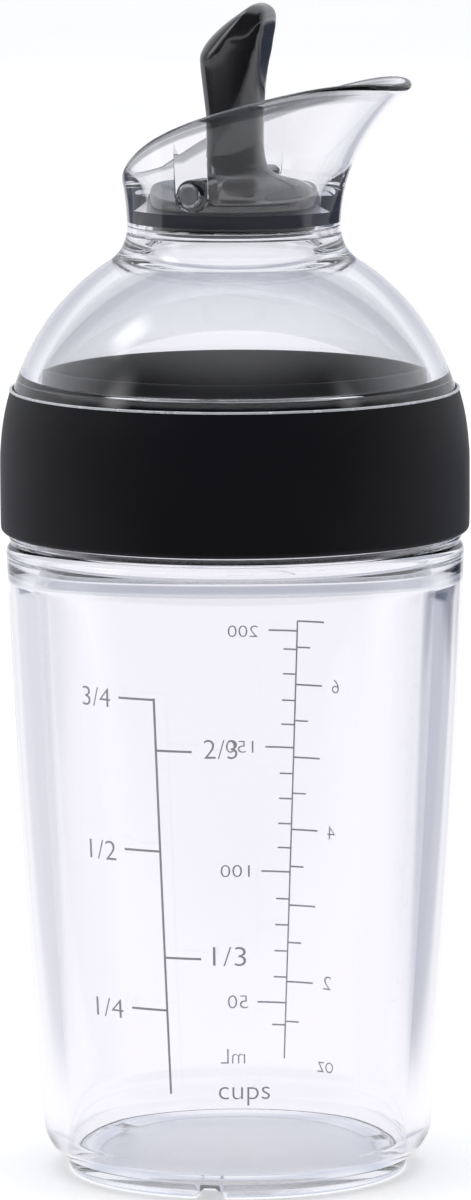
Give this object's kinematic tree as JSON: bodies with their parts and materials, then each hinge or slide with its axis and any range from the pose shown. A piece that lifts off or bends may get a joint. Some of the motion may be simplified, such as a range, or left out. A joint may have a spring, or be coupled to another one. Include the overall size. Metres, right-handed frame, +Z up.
{
  "type": "salad dressing shaker bottle",
  "caption": "Clear tapered shaker bottle with a screw-on dome lid, soft grip band, flared pour spout and a thumb lever that tilts a round stopper.",
  "frame": {"origin": "centre of the foot ring, on the surface that the bottle stands on", "axes": "+Z up along the bottle's axis, +X towards the pouring lip, Y along the lever's pivot pin"},
  "size_m": [0.0718, 0.0718, 0.18],
  "materials": {
    "clear_container": "clear gloss",
    "clear_lid": "clear gloss",
    "soft_black": "satin",
    "gasket_black": "matte",
    "seal_navy": "satin",
    "gloss_black": "gloss",
    "plate_black": "satin",
    "pin_steel": "polished",
    "ink_grey": "printed"
  },
  "bodies": {
    "container": {"container": "clear_container"},
    "gasket": {"lid_gasket": "gasket_black"},
    "lid": {"lid_dome": "clear_lid", "spout": "clear_lid", "grip_band": "soft_black", "pivot_pin": "pin_steel"},
    "lever": {"lever": "gloss_black", "stopper_seal": "seal_navy", "seal_retainer": "plate_black"}
  },
  "joints": [
    {"name": "lid_lift", "type": "slide", "parent": "container", "child": "gasket", "axis": [0, 0, 1], "range_m": [0, 0.0061]},
    {"name": "lid_turn", "type": "hinge", "parent": "gasket", "child": "lid", "pos_m": [0, 0, 0.11], "axis": [0, 0, 1], "range_deg": [0, 540]},
    {"name": "stopper_tilt", "type": "hinge", "parent": "lid", "child": "lever", "pos_m": [-0.0006, 0, 0.1518], "axis": [0, -1, 0], "range_deg": [0, 70]}
  ],
  "couplings": [
    {"joint": "lid_lift", "follows": "lid_turn", "m_per_rad": 0.0006366}
  ]
}
